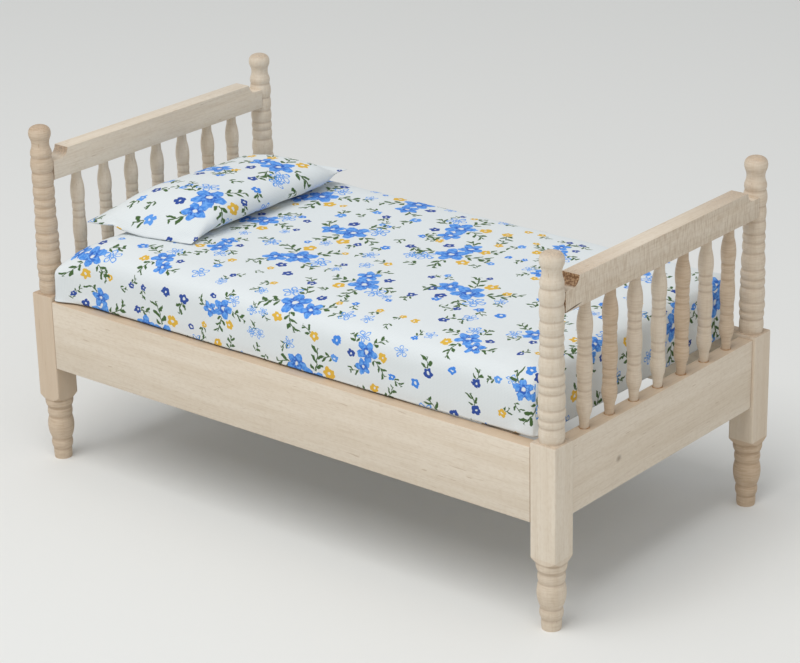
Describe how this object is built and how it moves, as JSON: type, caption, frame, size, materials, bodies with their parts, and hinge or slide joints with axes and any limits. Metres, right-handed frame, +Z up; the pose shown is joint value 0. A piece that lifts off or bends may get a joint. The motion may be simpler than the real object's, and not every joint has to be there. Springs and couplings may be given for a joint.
{
  "type": "bed",
  "caption": "Miniature single bed of turned wood with spindled head and foot boards, slatted base, padded mattress and pillow in flower-printed cotton.",
  "frame": {"origin": "on the floor, under the middle of the bed", "axes": "+X from the head end to the foot end, -Y towards the near long side, +Z up"},
  "size_m": [0.167, 0.0896, 0.0914],
  "materials": {
    "post_wood": "bare close-grained hardwood, turned and sanded",
    "spindle_wood": "bare close-grained hardwood, turned",
    "side_rail_wood": "bare hardwood board, planed",
    "end_rail_wood": "bare hardwood board, planed, end grain darker",
    "slat_wood": "bare hardwood strip, sawn",
    "mattress_cotton": "plain-weave cotton with a small flower print",
    "pillow_cotton": "plain-weave cotton with a small flower print",
    "mattress_foam": "soft foam block, hidden",
    "pillow_wadding": "polyester wadding, hidden"
  },
  "bodies": {
    "frame": {"foot_low_rail": "end_rail_wood", "foot_spindle_1": "spindle_wood", "foot_spindle_2": "spindle_wood", "foot_spindle_3": "spindle_wood", "foot_spindle_4": "spindle_wood", "foot_spindle_5": "spindle_wood", "foot_spindle_6": "spindle_wood", "foot_spindle_7": "spindle_wood", "foot_top_rail": "end_rail_wood", "head_low_rail": "end_rail_wood", "head_spindle_1": "spindle_wood", "head_spindle_2": "spindle_wood", "head_spindle_3": "spindle_wood", "head_spindle_4": "spindle_wood", "head_spindle_5": "spindle_wood", "head_spindle_6": "spindle_wood", "head_spindle_7": "spindle_wood", "head_top_rail": "end_rail_wood", "ledger_far": "slat_wood", "ledger_near": "slat_wood", "post_foot_far": "post_wood", "post_foot_near": "post_wood", "post_head_far": "post_wood", "post_head_near": "post_wood", "side_rail_far": "side_rail_wood", "side_rail_near": "side_rail_wood", "slat_1": "slat_wood", "slat_2": "slat_wood", "slat_3": "slat_wood", "slat_4": "slat_wood", "slat_5": "slat_wood"},
    "mattress": {"mattress_core": "mattress_foam", "mattress_cover": "mattress_cotton"},
    "pillow": {"pillow_cover": "pillow_cotton", "pillow_filling": "pillow_wadding"}
  },
  "joints": [
    {"name": "mattress_lift", "type": "slide", "parent": "frame", "child": "mattress", "axis": [0, 0, 1], "range_m": [0, 0.055]},
    {"name": "pillow_lift", "type": "slide", "parent": "mattress", "child": "pillow", "axis": [0, 0, 1], "range_m": [0, 0.04]}
  ]
}
